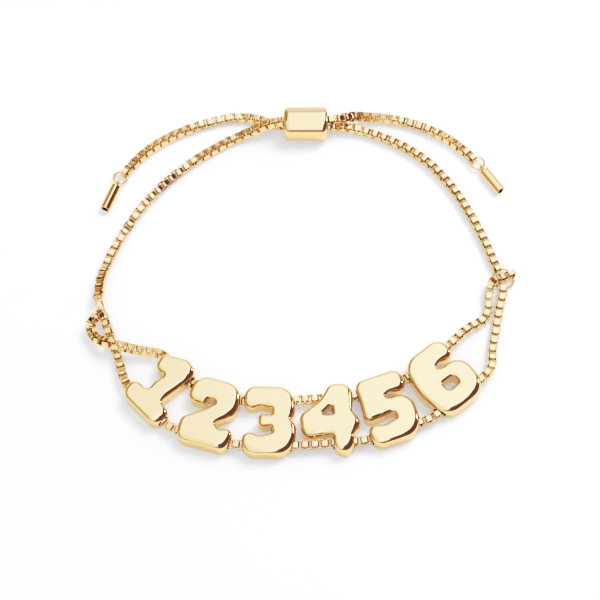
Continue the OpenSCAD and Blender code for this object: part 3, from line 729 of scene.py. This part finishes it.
# Studio light. Azimuth 0 is to the right of the picture and 90 away from the camera.
# Rows of EDGE are an azimuth and the elevation down to which the dome is one large softbox.
# Below that comes a darker band, its frame, and then the room, whose rows are azimuth and colour.
# The softbox's colour changes from left to right. The window is one small bright spot low in the room.
# All of these values were adjusted by comparing renders with the photo.
EDGE = [
    (-180, 45), (-150, 40), (-130, 22), (-110, 14), (-90, 19), (-76, 34), (-63, 56), (-50, 62), (0, 64),
    (30, 62), (38, 56), (48, 36), (60, 36), (75, 46), (90, 53), (113, 57), (140, 57), (155, 50), (180, 45)]
ROOM = [
    (-180, (.43, .45, .39)), (-135, (.45, .46, .42)), (-112, (.66, .68, .70)), (-92, (.54, .46, .34)),
    (-76, (.30, .19, .13)), (-62, (.165, .095, .115)), (30, (.165, .095, .115)), (38, (.30, .25, .25)),
    (50, (.62, .62, .66)), (65, (.68, .72, .80)), (85, (.78, .87, 1.05)), (108, (.70, .76, .88)),
    (118, (.46, .38, .22)), (140, (.44, .36, .20)), (155, (.45, .45, .40)), (180, (.43, .45, .39))]
BOX_LEFT, BOX_MIDDLE, BOX_RIGHT = (.92, .95, .98), (.91, 1.01, 1.20), (1.0, 1.22, 1.55)
BOX_LEFT_END, BOX_MIDDLE_AT, BOX_RIGHT_START = -.35, -.12, .08
FRAME_WIDTH, FRAME_TONE, EDGE_BLUR = 7, 0.62, 1.5
WINDOW_AT, WINDOW_HALF, WINDOW_BLUR, WINDOW_LIGHT = (25, 20), 5, 2.5, 9
KEY_AT, KEY_DISTANCE, KEY_SIDE, KEY_WATTS, KEY_COLOUR = (40, 58), 0.7, 0.3, 2.3, (1, .965, .90)

world = bpy.data.worlds.new("studio")
bpy.context.scene.world = world
world.use_nodes = True
sky = world.node_tree


def sky_math(operation, first, second=0.0):
    made = sky.nodes.new("ShaderNodeMath")
    made.operation = operation
    for socket, value in zip(made.inputs, (first, second)):
        if isinstance(value, (int, float)):
            socket.default_value = value
        else:
            sky.links.new(value, socket)
    return made.outputs["Value"]


def sky_step(value, low, high):
    """0 under low and 1 over high, with a smooth rise between them."""
    made = sky.nodes.new("ShaderNodeMapRange")
    made.interpolation_type = "SMOOTHSTEP"
    made.inputs["From Min"].default_value, made.inputs["From Max"].default_value = low, high
    sky.links.new(value, made.inputs["Value"])
    return made.outputs["Result"]


def sky_mix(factor, first, second):
    made = sky.nodes.new("ShaderNodeMix")
    made.data_type = "RGBA"
    sky.links.new(factor, made.inputs["Factor"])
    for name, value in (("A", first), ("B", second)):
        if isinstance(value, tuple):
            made.inputs[name].default_value = (*value, 1)
        else:
            sky.links.new(value, made.inputs[name])
    return made.outputs["Result"]


def sky_ramp(factor, stops):
    made = sky.nodes.new("ShaderNodeValToRGB")
    stop_list = made.color_ramp.elements
    while len(stop_list) < len(stops):
        stop_list.new(1.0)
    for stop, (azimuth, colour) in zip(stop_list, stops):
        stop.position = azimuth / 360 + 0.5
        stop.color = (*colour, 1)
    sky.links.new(factor, made.inputs["Fac"])
    return made.outputs["Color"]


ray = sky.nodes.new("ShaderNodeTexCoord").outputs["Generated"]
parts = sky.nodes.new("ShaderNodeSeparateXYZ")
sky.links.new(ray, parts.inputs["Vector"])
across, up = parts.outputs["X"], parts.outputs["Z"]
turn = sky_math("ARCTAN2", parts.outputs["Y"], across)
turn_share = sky_math("ADD", sky_math("DIVIDE", turn, 2 * math.pi), 0.5)
elevation = sky_math("DIVIDE", sky_math("ARCSINE", up), math.radians(1))
edge = sky_math("MULTIPLY", sky_ramp(turn_share, [(a, (e / 90,) * 3) for a, e in EDGE]), 90)
above = sky_math("SUBTRACT", elevation, edge)

room = sky_ramp(turn_share, ROOM)
in_frame = sky_step(above, -FRAME_WIDTH - 2 * EDGE_BLUR, -FRAME_WIDTH + 2 * EDGE_BLUR)
frame_shade = sky.nodes.new("ShaderNodeMix")
frame_shade.data_type, frame_shade.blend_type = "RGBA", "MULTIPLY"
frame_shade.inputs["B"].default_value = (FRAME_TONE, FRAME_TONE, FRAME_TONE, 1)
sky.links.new(in_frame, frame_shade.inputs["Factor"])
sky.links.new(room, frame_shade.inputs["A"])

box = sky_mix(sky_step(across, BOX_LEFT_END, BOX_MIDDLE_AT), BOX_LEFT, BOX_MIDDLE)
box = sky_mix(sky_step(across, BOX_MIDDLE_AT, BOX_RIGHT_START), box, BOX_RIGHT)
dome = sky_mix(sky_step(above, -EDGE_BLUR, EDGE_BLUR), frame_shade.outputs["Result"], box)

facing = sky.nodes.new("ShaderNodeVectorMath")
facing.operation = "DOT_PRODUCT"
facing.inputs[1].default_value = tuple(direction(*WINDOW_AT))
sky.links.new(ray, facing.inputs[0])
window = sky_step(facing.outputs["Value"], cos(WINDOW_HALF + WINDOW_BLUR), cos(WINDOW_HALF - WINDOW_BLUR))
dome = sky_mix(window, dome, (WINDOW_LIGHT,) * 3)
sky.links.new(dome, sky.nodes["Background"].inputs["Color"])

# Key light, which no gloss shows, because the dome alone makes the reflections
key = bpy.data.lights.new("key_softbox", "AREA")
key.shape, key.size, key.size_y, key.energy = "RECTANGLE", KEY_SIDE, KEY_SIDE, KEY_WATTS
key.color = KEY_COLOUR
key_object = bpy.data.objects.new("key_softbox", key)
key_way = Vector(direction(*KEY_AT))
key_object.location = key_way * KEY_DISTANCE
key_object.rotation_euler = key_way.to_track_quat("Z", "Y").to_euler()
key_object.visible_glossy = False
bpy.context.scene.collection.objects.link(key_object)

# Camera. Its place and lens are estimated from the photo
CAMERA_AT, CAMERA_TILT, LENS, SENSOR, NEAREST_SEEN = (-0.00041, -0.17225, 0.36252), 25, 145.44, 36, 0.01
camera_data = bpy.data.cameras.new("camera")
camera_data.lens, camera_data.sensor_width, camera_data.clip_start = LENS, SENSOR, NEAREST_SEEN
camera = bpy.data.objects.new("camera", camera_data)
camera.location = CAMERA_AT
camera.rotation_euler = (math.radians(CAMERA_TILT), 0, 0)
bpy.context.scene.collection.objects.link(camera)
bpy.context.scene.camera = camera

# Tone curve, set against the photo: dark tones a little darker, middle and pale ones paler
CURVE = [(0, 0), (.05, .035), (.25, .225), (.45, .53), (.7, .78), (.85, .9), (1.0, 1.0)]
ALL_CHANNELS = 3
view = bpy.context.scene.view_settings
view.view_transform = "Standard"
view.use_curve_mapping = True
tone = view.curve_mapping
tone.use_clip = False
line = tone.curves[ALL_CHANNELS]
while len(line.points) < len(CURVE):
    line.points.new(0.5, 0.5)
for point, (x, y) in zip(line.points, CURVE):
    point.location = (x, y)
tone.update()

bpy.context.view_layer.update()
